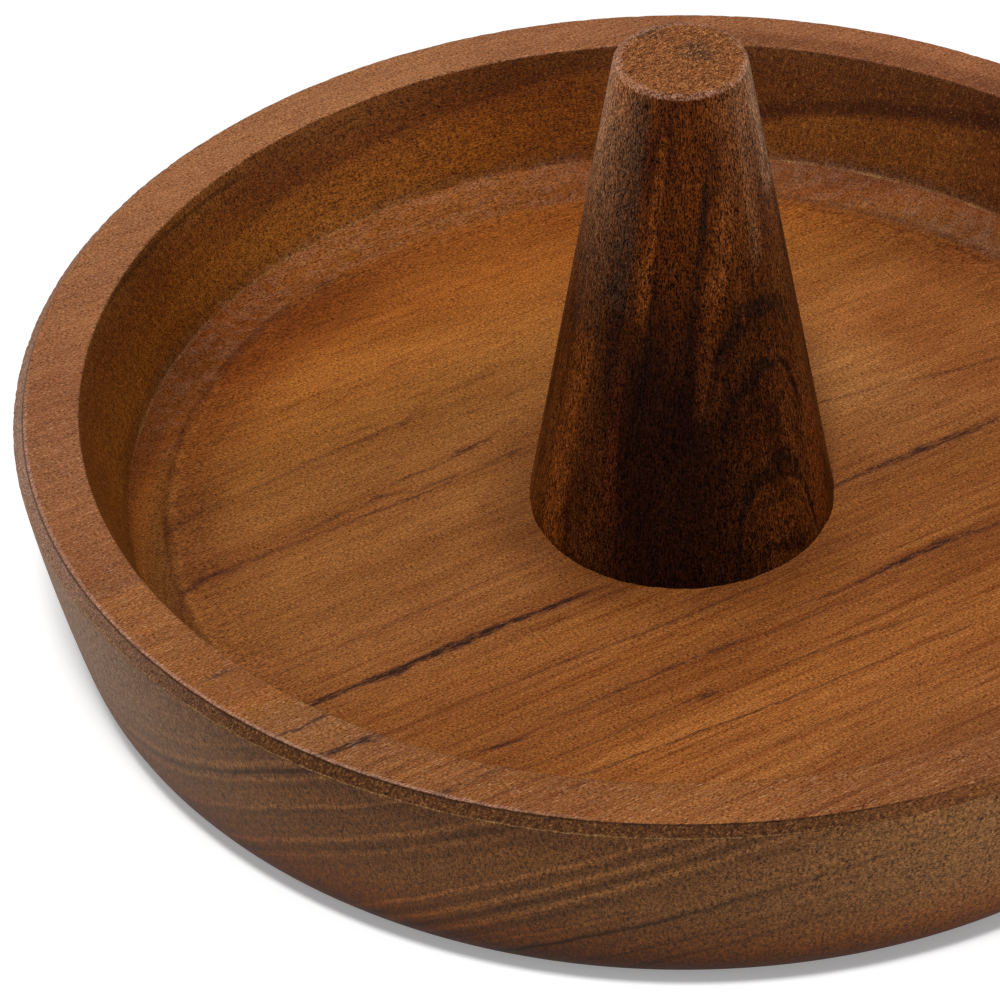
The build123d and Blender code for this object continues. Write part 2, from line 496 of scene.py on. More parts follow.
class Spot:
    """Where a point is in the dish: along its grain, across it, up, out from the axis and round it."""

    def __init__(self, wood):
        self.wood = wood
        self.grain = wood.place(turn=(0, 0, -BLANK_GRAIN))
        self.along, self.left, self.up = wood.split(self.grain)
        self.radius = wood.length(wood.join(self.along, self.left, 0))
        x, y, _ = wood.split(wood.place())
        self.bearing = wood.times(wood.math("ARCTAN2", x, wood.times(y, -1)), DEGREES)
        # the layers are bent a little by a slow and a quick wander
        slow = wood.clouds(self.grain, (0.022, 0.075, 0.075), 1)
        quick = wood.clouds(self.grain, (0.09, 0.35, 0.35), 2)
        wander = wood.add(
            wood.scaled(slow, 1.6, -0.8), wood.scaled(quick, 0.9, -0.45)
        )
        across = wood.less(wander, self.left)
        bend = wood.less(across, BEND_START)
        reach = wood.math("SQRT", wood.scaled(bend, bend, BEND_WIDTH**2))
        fall = wood.add(wood.times(across, LAYER_TILT), wood.times(wood.add(bend, reach), LAYER_BEND))
        self.layer = wood.less(self.up, fall)

    def round(self, start, end, soft):
        """1 between two bearings, fading over soft degrees outside both."""
        return self.wood.between(self.bearing, start, end, soft)


def layer_colour(wood, spot):
    """The tones of the layers with finer stripes and slow clouds over them."""
    lowest, highest = layer_at(*LAYER_TONES[0][0]), layer_at(*LAYER_TONES[-1][0])
    share = wood.share_of(spot.layer, lowest, highest)
    span = highest - lowest
    tone = wood.ramp(share, [((layer_at(*place) - lowest) / span, shown) for place, shown in LAYER_TONES])
    stripes = wood.noise(wood.join(wood.times(spot.along, 0.03), wood.times(spot.layer, 2.4), 0), 4, 0.65)
    striped = wood.filtered(tone, wood.ramp(stripes, [
        (0.3, (196, 172, 156)),
        (0.42, (230, 218, 210)),
        (0.5, (244, 240, 236)),
        (0.66, (255, 255, 255)),
    ]))
    tone = wood.mix(wood.ease(spot.layer, 8, 2, 0.35, 1), tone, striped)
    clouds = wood.clouds(spot.grain, (0.05, 0.14, 0.14), 3, shift=(7, 3, 1))
    return wood.filtered(tone, wood.ramp(clouds, [
        (0.34, (232, 224, 216)),
        (0.66, (255, 255, 255)),
    ]))


def line_ramp(wood, level, lines, ground):
    """A ramp over a level with a flat-topped line at each place: (level, half its width, value)."""
    lowest = min(place - half for place, half, value in lines) - 0.1
    highest = max(place + half for place, half, value in lines) + 0.1
    stops = []
    for place, half, value in sorted(lines):
        for edge, grey in ((-half, ground), (-half * 0.5, value), (half * 0.5, value), (half, ground)):
            stops.append(((place + edge - lowest) / (highest - lowest), grey))
    return wood.grey_ramp(wood.share_of(level, lowest, highest), stops)


def drawn_veins(wood, along, across, veins):
    """How dark a point is, 0 to 1, for veins drawn as points (along, across, half the width, strength)."""
    darkest = 0
    for points in veins:
        first, last = points[0], points[-1]
        points = [(first[0] - 1.2, *first[1:3], 0)] + points + [(last[0] + 1.2, *last[1:3], 0)]
        start, length = points[0][0], points[-1][0] - points[0][0]
        low = min(p[1] for p in points)
        span = max(p[1] for p in points) - low + 0.01
        path = wood.nodes.new("ShaderNodeValToRGB")
        # each vein waits for the one before, so that few values are held at a time
        here = wood.scaled(darkest, 0.0001, along)
        wood.plug(path.inputs[0], wood.scaled(here, 1 / length, -start / length))
        wood.set_stops(path, [
            ((u - start) / length, ((v - low) / span, half, strength, 1)) for u, v, half, strength in points
        ])
        place, half, strength = wood.split(path.outputs[0])
        away = wood.unsigned(wood.scaled(place, -span, wood.less(across, low)))
        dark = wood.times(wood.ease(away, wood.times(half, 1.8), wood.times(half, 0.1)), strength)
        darkest = wood.most(darkest, dark)
    return darkest


def vein_share(wood, spot, above, rim):
    """How dark the veins are at a point of the floor or the rim, 0 to 1, with ragged edges."""
    quiver = wood.clouds(spot.grain, (0.4, 1.6, 1.6), 3, 0.6)
    ragged = wood.ease(
        wood.clouds(spot.grain, (0.7, 4.6, 4.6), 2, 0.65, shift=(5, 0, 2)), 0.34, 0.58, 0.45, 1
    )
    across = wood.less(wood.scaled(quiver, 0.7, -0.35), spot.left)
    floor = wood.times(wood.ease(spot.radius, 46.4, 44.8), above)
    floor_veins = wood.times(drawn_veins(wood, spot.along, across, FLOOR_VEINS), floor)
    rim_veins = wood.times(drawn_veins(wood, spot.along, across, RIM_VEINS), rim)
    return wood.times(wood.most(floor_veins, rim_veins), ragged)


def under_side(wood, spot, tone):
    """The underside is dry and unoiled, with the faint rings of the turning tool."""
    turned = wood.noise(wood.join(wood.times(spot.radius, 1.3), 0, 0), 2, 0.7)
    tone = wood.mix(0.35, wood.tint(1, tone, 214, 206, 192), colour(150, 108, 74))
    return wood.filtered(tone, wood.ramp(turned, [
        (0.36, (214, 208, 200)),
        (0.5, (244, 242, 240)),
        (0.62, (255, 255, 255)),
    ]))


def outside_colour(wood, spot, tone):
    """The outside is duller and more olive, with pale growth rings, each darker just below; painted shade
    darkens it towards the foot and under the band, and painted sheen greys it at the front left.
    """
    under = under_side(wood, spot, tone)
    tone = wood.tint(1, tone, 201, 194, 162)
    tone = wood.mix(0.5, tone, colour(134, 96, 61))
    lightness = 1
    for start, end, climb, lines in RING_GROUPS:
        here = spot.round(start, end, 6)
        turned = wood.less(spot.bearing, (start + end) / 2)
        level = wood.scaled(turned, -climb, spot.layer)
        rings = line_ramp(wood, level, [(layer, half, value / 2) for layer, half, value in lines], 0.5)
        change = wood.times(wood.scaled(rings, 2, -1), here)
        lightness = wood.math("ADD", lightness, change)
    lightness = wood.most(wood.scaled(lightness, 1.35, -0.35), 0.3)
    tone = wood.filtered(tone, wood.join(lightness, lightness, wood.math("POWER", lightness, 0.9)))
    tone = wood.mix(
        wood.times(wood.ease(spot.bearing, -12, 42), wood.ease(spot.bearing, 150, 90), 0.72), tone,
        colour(206, 142, 84),
    )
    # painted shade: darker towards the foot, close to the floor
    tone = wood.tint(wood.ease(spot.up, 12, 3), tone, 236, 204, 158)
    tone = wood.tint(wood.ease(spot.up, 6.5, 1), tone, 118, 78, 36)
    # painted shade just under the band's overhang at the front
    shade_under_band = wood.times(wood.ease(spot.up, 16.5, 19), spot.round(-50, 4, 10))
    tone = wood.tint(shade_under_band, tone, 234, 234, 244)
    # painted sheen: greyer up at the front left, a glancing reflection of the pale floor
    painted_sheen_front_left = wood.times(
        wood.ease(spot.bearing, -30, -70), wood.ease(spot.bearing, -176, -112),
        wood.ease(spot.up, 2, 18, 0.4, 1),
    )
    tone = wood.mix(wood.times(painted_sheen_front_left, 0.55), tone, colour(199, 162, 133))
    return wood.mix(wood.ease(spot.up, 0.25, 0.05), tone, under)


def wall_colour(wood, spot, tone, torn):
    """The inner wall is darker above one layer of the blank, and end grain there is darker still."""
    left_edge = wood.scaled(spot.along, 0.092, 16.1 + 46 * 0.092)
    right_edge = wood.scaled(spot.along, 0.136, 17.05 - 32.9 * 0.136)
    right = wood.ease(spot.along, 22, 26)
    edge = wood.add(wood.times(left_edge, wood.less(1, right)), wood.times(right_edge, right))
    over = wood.less(spot.layer, edge)
    tone = wood.tint(1, tone, 226, 234, 206)
    back = wood.ease(wood.unsigned(spot.bearing), 140, 165)
    tone = wood.tint(wood.times(back, wood.ease(spot.along, 30, 16)), tone, 218, 198, 124)
    left = spot.round(-118, -60, 18)
    tone = wood.tint(wood.times(wood.ease(over, -0.3, 0.5), wood.scaled(left, -0.7, 1)), tone, 212, 204, 200)
    tone = wood.tint(spot.round(-112, -84, 22), tone, 244, 240, 225)
    streak = wood.times(wood.near(spot.layer, 23.4, 0.3), spot.round(-126, -106, 6), 0.5)
    tone = wood.mix(streak, tone, colour(52, 26, 14))
    end_on = wood.math("DIVIDE", wood.unsigned(spot.along), wood.most(spot.radius, 1))
    end_share = wood.times(wood.ease(end_on, 0.1, 1, 0.12, 0.7), wood.scaled(left, -0.65, 1))
    tone = wood.tint(end_share, tone, 168, 160, 146)
    below = wood.times(wood.near(over, 0.5, 1.1), right)
    tone = wood.tint(below, tone, 204, 196, 190)
    return wood.mix(wood.times(wood.ease(torn, 0.56, 0.7), end_on, 0.3), tone, colour(172, 122, 60))


def band_colour(wood, spot, torn, grain_end):
    """The turned band under the rim's edge is torn end grain: dark, with short pale fibres, painted sheen at
    the front left and a painted shadow line under the rim's edge.
    """
    tone = wood.ramp(torn, [
        (0.34, (52, 28, 14)),
        (0.5, (88, 52, 24)),
        (0.64, (122, 80, 42)),
        (0.78, (170, 124, 76)),
    ])
    # painted sheen: greyer at the front left, a glancing reflection on the band
    worn = wood.times(wood.ease(spot.bearing, -32, -82), wood.ease(spot.bearing, -176, -120), 0.74)
    tone = wood.mix(worn, tone, colour(178, 140, 118))
    shadow_line = wood.near(spot.radius, 56.14, 0.1)
    tone = wood.mix(wood.times(shadow_line, 0.6), tone, colour(34, 18, 10))
    burr = wood.times(wood.near(spot.up, 20.16, 0.06), grain_end)
    return wood.mix(wood.times(burr, 0.35), tone, colour(176, 136, 92))


def floor_colour(wood, spot, tone, above):
    """The floor's slow changes of tone, over the layers' own, with painted shade round the cone's foot and
    towards the toe, and painted light over the cone's cast shadow.
    """
    radius, bearing = spot.radius, spot.bearing
    # painted shade round the cone's foot, where the cone shades the floor, less at the right
    painted_foot_shade = wood.times(
        wood.ease(radius, 20, 13.4),
        wood.ease(wood.unsigned(wood.math("ADD", bearing, 40)), 130, 90, 0.2, 1),
    )
    tone = wood.tint(wood.times(painted_foot_shade, above), tone, 214, 208, 204)
    # painted light right of the cone and past it at the back right, over the cone's cast shadow on the floor;
    # darker and redder between them at the back right
    painted_light_right = wood.times(
        wood.ease(spot.along, 12, 24), wood.between(spot.left, -1, 13, 8),
        wood.ease(radius, 46.4, 44.8),
    )
    tone = wood.tint(wood.times(painted_light_right, above), tone, 284, 294, 312)
    back_right = wood.times(wood.ease(radius, 25, 31), spot.round(124, 143, 9), above)
    tone = wood.tint(back_right, tone, 241, 231, 224)
    # painted light over the edge of the cone's cast shadow
    painted_light_past_shadow = wood.times(wood.between(radius, 28, 43.6, 3), spot.round(150, 166, 8), above)
    tone = wood.tint(painted_light_past_shadow, tone, 272, 274, 276)
    # painted shade: it darkens towards the toe, where the wall shades the floor, most of all at the left and
    # the back right
    sides = wood.most(spot.round(-128, -80, 16), wood.times(spot.round(142, 166, 12), 0.6))
    painted_toe_shade = wood.times(wood.ease(radius, 36.5, 43.4), wood.ease(radius, 44.4, 43.6), above)
    tone = wood.tint(wood.times(painted_toe_shade, wood.scaled(sides, 0.65, 0.35)), tone, 206, 192, 186)
    redder = wood.times(
        spot.round(118, 164, 15), wood.ease(radius, 20, 30), wood.ease(radius, 52, 48)
    )
    return wood.tint(redder, tone, 250, 242, 236)


# Tints of the cove: bearings of the ends, tint
COVE_TINTS = [
    (-108, -60, (226, 226, 226)),
    (140, 165, (236, 242, 250)),
    # painted sheen, paler and bluer, at the back left
    (-160, -134, (268, 280, 290)),
]


def cove_colour(wood, spot, tone, cove, above):
    """The cove under painted shade, with painted sheen at the back, a dark line of painted shade at its toe
    and a painted highlight along its crease.
    """
    radius = spot.radius
    # painted sheen: a lilac-grey glancing reflection over the cove at the back
    painted_sheen_back = wood.times(cove, wood.most(spot.round(-180, -110, 20), spot.round(130, 180, 12)))
    # painted shade over the whole cove
    tone = wood.tint(wood.times(cove, 0.8), tone, 206, 196, 184)
    for start, end, tint in COVE_TINTS:
        tone = wood.tint(wood.times(cove, spot.round(start, end, 14)), tone, *tint)
    cloudy = wood.ease(wood.clouds(spot.grain, (0.5, 1.1, 1.1), 3, 0.6), 0.4, 0.62)
    tone = wood.mix(wood.times(painted_sheen_back, cloudy, 0.13), tone, colour(176, 140, 118))
    # painted shade: a dark line in the crease at the toe, at the left and at the back right
    toe = wood.times(wood.near(radius, 44.5, 0.75), spot.round(-132, -84, 14), above)
    patchy = wood.ease(wood.clouds(spot.grain, (0.3, 0.3, 0.3), 3, 0.6, shift=(9, 1, 2)), 0.36, 0.6, 0.3, 1)
    tone = wood.tint(wood.times(toe, patchy, 0.8), tone, 178, 158, 146)
    back_toe_shade = wood.times(wood.near(radius, 44.3, 1), spot.round(130, 168, 11), above)
    tone = wood.tint(wood.times(back_toe_shade, 0.5), tone, 170, 148, 134)
    # painted highlight: a pale line along the crisp crease
    left_crease = wood.times(spot.round(-140, -100, 12), 0.6)
    crease = wood.times(
        wood.near(radius, 47.85, 0.13), wood.most(spot.round(130, 168, 11), left_crease), above
    )
    return wood.mix(wood.times(crease, patchy, 0.36), tone, colour(190, 144, 98))


# Tints of the rim: bearings of the ends, softness of both, tint
RIM_TINTS = [
    (-152, -106, 20, (264, 270, 268)),
    (14, 52, 12, (236, 230, 228)),
    (-76, -50, 12, (257, 268, 276)),
]


def rim_colour(wood, spot, tone):
    """The rim is paler and greyer than the bowl, most of all at the back, and its worn outer edge has painted
    sheen at the front left.
    """
    radius, bearing = spot.radius, spot.bearing
    # paler and greyer towards the back
    dry = wood.ease(wood.unsigned(bearing), 20, 130, 0.06, 0.3)
    tone = wood.mix(dry, tone, colour(186, 138, 106))
    tone = wood.tint(1, tone, 234, 236, 240)
    tone = wood.tint(wood.ease(wood.unsigned(bearing), 60, 130), tone, 270, 260, 250)
    for start, end, soft, tint in RIM_TINTS:
        tone = wood.tint(spot.round(start, end, soft), tone, *tint)
    inner_stain = wood.times(spot.round(140, 172, 8), wood.ease(radius, 54.2, 52.8))
    tone = wood.tint(inner_stain, tone, 218, 208, 202)
    rim_flecks = wood.clouds(spot.grain, (0.9, 6, 6), 2, 0.7, shift=(4, 2, 6))
    tone = wood.mix(wood.ease(rim_flecks, 0.52, 0.7, 0, 0.35), tone, colour(214, 164, 124))
    # painted sheen along the worn outer edge at the front left
    painted_sheen_front_left = wood.times(wood.near(radius, 55.97, 0.26), spot.round(-82, -18, 14))
    return wood.mix(wood.times(painted_sheen_front_left, 0.3), tone, colour(196, 164, 152))


def dish_wood():
    """Oiled straight-grained wood: layers across the blank, pores and fibres along it, dark veins."""
    wood = Finish("dish_wood_oiled")
    spot = Spot(wood)
    radius, up, bearing = spot.radius, spot.up, spot.bearing
    above = wood.ease(up, 8.2, 8.5)
    wall = wood.times(wood.between(radius, 48, 51.45, 0.3), above, wood.ease(up, 20.97, 20.85))
    cove = wood.times(wood.between(radius, 44.9, 47.6, 0.9), above)
    rim = wood.times(wood.ease(up, 20.75, 20.93), wood.between(radius, 51.4, 56, 0.15))
    band = wood.times(wood.ease(radius, 56.03, 56.13), wood.ease(up, 20.02, 20.12))
    low = wood.ease(up, 8.4, 8)
    outside = wood.most(wood.times(wood.ease(radius, 51.8, 52.2), wood.ease(up, 20.14, 20.04)), low)

    torn = wood.clouds(spot.grain, (4.2, 4.2, 1.8), 3, 0.75)
    tone = layer_colour(wood, spot)
    hair = wood.noise(wood.join(wood.times(spot.along, 0.06), wood.times(spot.layer, 7), 0), 2, 0.6)
    rough = wood.most(wood.times(wall, 2.2), wood.times(outside, 3.4))
    light = wood.add(
        wood.fibres(spot.grain, 0.87, 0.25, 0.55, 2.9),
        wood.scaled(hair, 0.34, -0.17),
        wood.times(wood.less(torn, 0.5), rough),
    )
    flecks = wood.clouds(spot.grain, (0.6, 6.4, 6.4), 2, 0.6, shift=(2, 5, 9))
    pores = wood.ease(flecks, 0.42, 0.32)
    veins = vein_share(wood, spot, above, rim)
    # short feathery marks, redder than the wood round them
    feathers = wood.clouds(spot.grain, (0.3, 2.1, 2.1), 4, 0.65, shift=(6, 2, 8))
    tone = wood.tint(wood.ease(feathers, 0.54, 0.68, 0, 0.48), tone, 204, 174, 158)
    tone = wood.mix(wood.ease(feathers, 0.44, 0.32, 0, 0.16), tone, colour(214, 140, 80))
    tone = wood.mix(wood.ease(veins, 0, 0.85, 0, 0.94), tone, wood.ramp(veins, [
        (0.15, (126, 70, 38)),
        (0.5, (88, 48, 32)),
        (0.9, (46, 28, 25)),
    ]))
    tone = floor_colour(wood, spot, tone, above)

    tone = wood.mix(wall, tone, wall_colour(wood, spot, tone, torn))
    tone = cove_colour(wood, spot, tone, cove, above)
    tone = wood.mix(outside, tone, outside_colour(wood, spot, tone))
    tone = wood.mix(rim, tone, rim_colour(wood, spot, tone))
    band = wood.times(
        band, wood.ease(bearing, -115, -85, 0.3, 1), wood.ease(bearing, 6, 42, 1, 0.3)
    )
    tone = wood.mix(band, tone, band_colour(wood, spot, torn, spot.round(-60, 0, 25)))

    tone = wood.mix(wood.times(pores, wood.ease(outside, 1, 0, 0.15, 0.2)), tone, colour(88, 46, 24))
    tone = wood.shade(tone, light)

    gloss = wood.scaled(light, 0.1, 0.36)
    gloss = wood.add(gloss, wood.times(rim, 0.06), wood.times(outside, 0.08), wood.times(band, 0.3))
    fibre_height = wood.scaled(pores, -0.5, light)
    wood.set(Base_Color=tone, Roughness=gloss, Normal=wood.relief(fibre_height, 0.03))
    # the outside hardly shines, even at a glancing look
    wood.set(Specular_IOR_Level=wood.ease(outside, 0, 1, 0.12, 0.05))
    return wood.material


# Streaks of the cone: bearing from the front at its foot and at its head, heights of both, half its width
# in degrees, strength, tone
CONE_STREAKS = [
    (-60, -58, 9, 36, 10, 0.4, (150, 80, 26)),
    (-22, -13, 34, 50, 5, 0.35, (150, 80, 28)),
    (-38, -34, 34, 53, 13, 0.72, (50, 35, 26)),
    (-60, -56, 30, 50, 18, 0.68, (54, 35, 24)),
    # the next two are painted light, paler at the sides near the top
    (78, 78, 43, 57, 16, 0.46, (210, 156, 114)),
    (-82, -82, 46, 57, 15, 0.42, (208, 152, 110)),
    (-31, -31, 14, 28, 4, 0.25, (112, 46, 20)),
    (12, 22, 25, 38, 9, 0.3, (132, 66, 22)),
    (20, 30, 36, 45, 9, 0.3, (150, 86, 38)),
    (5, 16, 31, 46, 3, 0.7, (22, 12, 8)),
    (13, 20, 43, 48, 4, 0.6, (26, 16, 12)),
    (8, 22, 22, 32, 2.6, 0.65, (22, 12, 8)),
    (-19, -16, 26, 37, 3, 0.6, (26, 14, 8)),
    (-40, -36, 26, 34, 6, 0.45, (34, 18, 10)),
    (70, 72, 10, 21, 9, 0.5, (138, 66, 22)),
    (48, 54, 38, 53, 7, 0.35, (150, 100, 66)),
]

# Arches of its grain at the right: size in heart heights, half the line's width, strength
CONE_ARCHES = [
    (0.27, 0.02, 0.35), (0.37, 0.045, 0.75), (0.46, 0.02, 0.4), (0.54, 0.026, 0.5),
    (0.655, 0.06, 0.85), (0.73, 0.02, 0.35), (0.815, 0.026, 0.5), (0.885, 0.026, 0.55),
    (0.95, 0.02, 0.4), (1.01, 0.045, 0.85), (1.1, 0.02, 0.3), (1.24, 0.065, 0.75),
]

# Grey stains on its crown: place, size, strength
CROWN_STAINS = [(1.2, 1.1, 1.9, 0.7), (-2.8, 4.2, 2.2, 0.6), (2.2, 0, 0.9, 0.5)]


def arched_grain(wood, post, bearing, up):
    """How dark the arches round a heart at the right are, near the foot."""
    side = wood.scaled(bearing, 1 / 34, -43 / 34)
    side = wood.times(side, side, 1.25)
    rise = wood.scaled(up, 1 / 26, -4 / 26)
    wander = wood.clouds(post, (0.35, 0.35, 0.35), 3, 0.6)
    ring = wood.scaled(wander, 0.22, wood.length(wood.join(side, rise, 0)))
    arches = 0
    for place, half, strength in CONE_ARCHES:
        arches = wood.most(arches, wood.times(wood.near(ring, place, half), strength))
    return wood.times(arches, wood.between(bearing, 22, 62, 12))


def crown_colour(wood, post, place, radius, tone):
    """The crown's end grain: orange brown, rows of dark pores, grey stains, a worn rim."""
    x, y, up = place
    crown = wood.ease(up, 53.78, 53.87)
    sawn = wood.stretch(post, (1, 1, 1), turn=(0, 0, -38))
    tiny = wood.clouds(sawn, (2.6, 5.8, 5.8), 3, 0.75)
    end_tone = wood.ramp(tiny, [
        (0.34, (84, 44, 22)),
        (0.45, (136, 80, 42)),
        (0.56, (160, 98, 52)),
        (0.72, (204, 146, 100)),
    ])
    holes = wood.cells(wood.stretch(sawn, (1.5, 2.3, 3)))
    end_tone = wood.mix(wood.ease(holes, 0.26, 0.1, 0, 0.85), end_tone, colour(52, 22, 12))
    for px, py, size, strength in CROWN_STAINS:
        away = wood.length(wood.join(wood.less(x, px), wood.less(y, py), 0))
        patchy = wood.ease(tiny, 0.62, 0.46)
        end_tone = wood.mix(
            wood.times(wood.ease(away, size, size * 0.3), patchy, strength), end_tone, colour(58, 46, 38)
        )
    tone = wood.mix(crown, tone, end_tone)
    lumps = wood.clouds(post, (1.3, 1.3, 1.3), 3, 0.6)
    inward = wood.scaled(lumps, 1.6, wood.times(wood.less(x, y), -0.035))
    worn = wood.times(wood.ease(up, 53.4, 53.58), wood.ease(wood.add(radius, inward), 5.55, 5.95))
    chipped = wood.ease(wood.clouds(post, (2.4, 2.4, 2.4), 2, 0.6, shift=(4, 4, 1)), 0.4, 0.56, 0.2, 1)
    tone = wood.mix(wood.times(worn, chipped, 0.62), tone, colour(180, 130, 106))
    return tone, crown, worn


def cone_wood():
    """Dark close-grained wood: near black low at the front, its dark heart deepened by painted shade, browner
    upwards, arched grain at the right, with painted light and painted sheen at its sides.
    """
    wood = Finish("cone_wood_dark")
    post = wood.place()
    x, y, up = wood.split(post)
    radius = wood.length(wood.join(x, y, 0))
    straight = wood.math("ARCTAN2", x, wood.times(y, -1))
    wander = wood.clouds(post, (0.14, 0.14, 0.04), 2)
    bearing = wood.scaled(wander, 12, wood.scaled(straight, DEGREES, -6))
    grain = wood.join(up, x, y)

    height = wood.share_of(up, FLOOR, CONE_TOP)
    tone = wood.ramp(height, [
        (0, (108, 56, 20)),
        (0.4, (108, 56, 19)),
        (0.55, (110, 58, 19)),
        (0.72, (118, 62, 20)),
        (0.9, (128, 68, 24)),
        (1, (146, 82, 34)),
    ])
    figure = wood.clouds(post, (0.35, 0.35, 0.05), 4, 0.6, shift=(3, 1, 0))
    tone = wood.filtered(tone, wood.ramp(figure, [
        (0.36, (176, 160, 146)),
        (0.5, (228, 222, 216)),
        (0.64, (255, 255, 255)),
    ]))

    # painted shade: darker over the front middle, above mid height
    centre = wood.times(
        wood.ease(wood.unsigned(wood.math("ADD", bearing, 2)), 60, 10), wood.ease(up, 26, 32)
    )
    tone = wood.tint(centre, tone, 200, 186, 160)

    # painted light: paler at the sides low down
    edges = wood.times(wood.ease(wood.unsigned(bearing), 60, 80), wood.ease(up, 24, 10))
    tone = wood.tint(edges, tone, 296, 304, 300)

    # black heart low at the front: the wood's own dark heart, deepened by painted shade
    heart = wood.times(
        wood.ease(wood.unsigned(wood.math("ADD", bearing, 6)), 66, 10), wood.ease(up, 39.5, 26.5)
    )
    tone = wood.mix(wood.times(heart, 0.92), tone, colour(26, 7, 4))

    ragged = wood.ease(wood.clouds(grain, (0.35, 2.4, 2.4), 3, 0.65), 0.34, 0.56, 0.3, 1)
    for foot, head, low, high, half, strength, tint in CONE_STREAKS:
        line = wood.scaled(up, (head - foot) / (high - low), foot - low * (head - foot) / (high - low))
        near = wood.times(wood.near(wood.less(bearing, line), 0, half), ragged)
        inside = wood.between(up, low + 1, high - 1, 3)
        tone = wood.mix(wood.times(near, inside, strength), tone, colour(*tint))

    arches = arched_grain(wood, post, bearing, up)
    tone = wood.mix(wood.times(arches, ragged), tone, colour(26, 13, 8))

    # painted sheen: greyer and paler towards the top, more at the sides
    lopsided = wood.math("DIVIDE", x, wood.most(radius, 1))
    painted_sheen_top = wood.times(
        wood.ease(wood.scaled(lopsided, -3.6, up), 33, 55),
        wood.ease(wood.unsigned(bearing), 16, 84, 0, 1),
    )
    tone = wood.mix(wood.times(painted_sheen_top, 0.56), tone, colour(178, 124, 84))

    # fine upright fibres and dashes of open pores
    light = wood.fibres(grain, 0.98, 0.5, 3, 5.4)
    dashes = wood.clouds(grain, (0.7, 4.6, 4.6), 2, 0.7, shift=(1, 6, 2))
    pores = wood.ease(dashes, 0.42, 0.33)
    tone = wood.mix(wood.times(pores, wood.ease(up, 30, 44, 0.7, 0.45)), tone, colour(20, 9, 5))

    tone, crown, worn = crown_colour(wood, post, (x, y, up), radius, tone)
    # the fibres stand on end there, so their streaks hardly show
    light = wood.add(
        wood.times(wood.less(light, 0.98), wood.ease(wood.most(crown, worn), 0, 1, 1, 0.7)), 0.98
    )
    tone = wood.shade(tone, light)

    wood.set(Base_Color=tone, Roughness=wood.scaled(light, 0.1, 0.38))
    wood.set(Normal=wood.relief(wood.scaled(pores, -0.6, light), 0.035))
    wood.set(Specular_IOR_Level=0.05)
    return wood.material


def plated_steel():
    """Zinc-plated steel: pale, slightly blue, finely rubbed round the thread."""
    steel = Finish("screw_zinc_plated")
    place = steel.place()
    cloud = steel.clouds(place, (0.8, 0.8, 0.8), 3)
    fine = steel.clouds(place, (1.5, 1.5, 12), 2)
    tone = steel.ramp(cloud, [
        (0.3, (168, 172, 176)),
        (0.6, (196, 199, 200)),
        (0.8, (205, 202, 190)),
    ])
    steel.set(Base_Color=tone, Roughness=steel.scaled(fine, 0.2, 0.22))
    steel.set(Normal=steel.relief(fine, 0.01))
    steel.set(Metallic=1)
    return steel.material


def make_dish():
    hole, seat, seat_top, foot = 2.2, 4.95, 2.75, 48.22
    toe, crease = (44.1, FLOOR), (47.9, 10.8)
    mouth, edge = (51.6, RIM), (55.9, RIM)
    band_top, band_foot = (56.15, 20.9), (56.86, 20.24)
    flank_centre, flank_radius, flank_end = (-118.64, 49.65), 178.1, -14.8
    heel = 5.5
    outline = [(hole, FLOOR)]
    outline += run((hole, FLOOR), toe, 10)
    # the cove sags through the toe and the crease by 0.35
    outline += arc(*arc_of(toe, crease, 0.35), 8)[1:]
    outline += run(crease, (51.33, 20.8), 12)
    outline += [(51.38, 20.92), (51.47, 20.98), mouth]
    outline += run(mouth, edge, 9)
    outline += [(56, 20.99), (56.08, 20.96), band_top]
    outline += run(band_top, band_foot, 8)
    outline += [(56.94, 20.2), (56.99, 20.12), (56.96, 20.02)]
    outline += arc(flank_centre, flank_radius, -9.62, flank_end, 16)[1:]
    outline += arc((foot, heel), heel, flank_end, -90, 10)[1:]
    outline += run((foot, 0), (seat, 0), 4)
    outline += run((seat, 0), (hole, seat_top), 2)
    outline += run((hole, seat_top), (hole, FLOOR), 3)
    return turn_on_lathe("turned_dish", outline, 960)


def arc_of(start, end, hollow):
    """Centre, radius and the two angles of the arc from start to end that sags downwards and outwards."""
    (x0, y0), (x1, y1) = start, end
    chord = math.hypot(x1 - x0, y1 - y0)
    radius = (chord * chord / 4 + hollow * hollow) / (2 * hollow)
    nx, ny = -(y1 - y0) / chord, (x1 - x0) / chord
    cx = (x0 + x1) / 2 + nx * (radius - hollow)
    cy = (y0 + y1) / 2 + ny * (radius - hollow)
    first, last = math.atan2(y0 - cy, x0 - cx), math.atan2(y1 - cy, x1 - cx)
    return (cx, cy), radius, math.degrees(first), math.degrees(last)


def make_ring_cone():
    foot, head, bore, bore_top = 13.25, 5.5, 2.05, 26.5
    lean = (head - foot) / (CONE_TOP - FLOOR)
    side_start, side_end = (13.22, 8.9), (head - lean * 0.55, 53.35)
    outline = [(0, bore_top), (bore, bore_top)]
    outline += run((bore, bore_top), (bore, FLOOR), 3)
    outline += run((bore, FLOOR), (13.1, FLOOR), 5)
    outline += [(13.22, 8.74), side_start]
    outline += run(side_start, side_end, 80)
    outline += [(5.57, 53.48), (5.51, 53.61), (5.42, 53.73), (5.3, 53.82), (5.17, 53.88), (5.02, CONE_TOP)]
    outline += run((5.02, CONE_TOP), (0, CONE_TOP), 6)
    return turn_on_lathe("turned_ring_cone", outline, 512)


def softbox(name, place, target, size, watts):
    clear_selection()
    bpy.ops.object.light_add(type="AREA", location=place)
    lamp = bpy.context.object
    lamp.name = name
    lamp.rotation_euler = (Vector(target) - Vector(place)).to_track_quat("-Z", "Y").to_euler()
    lamp.data.shape = "SQUARE"
    lamp.data.size = size
    lamp.data.energy = watts


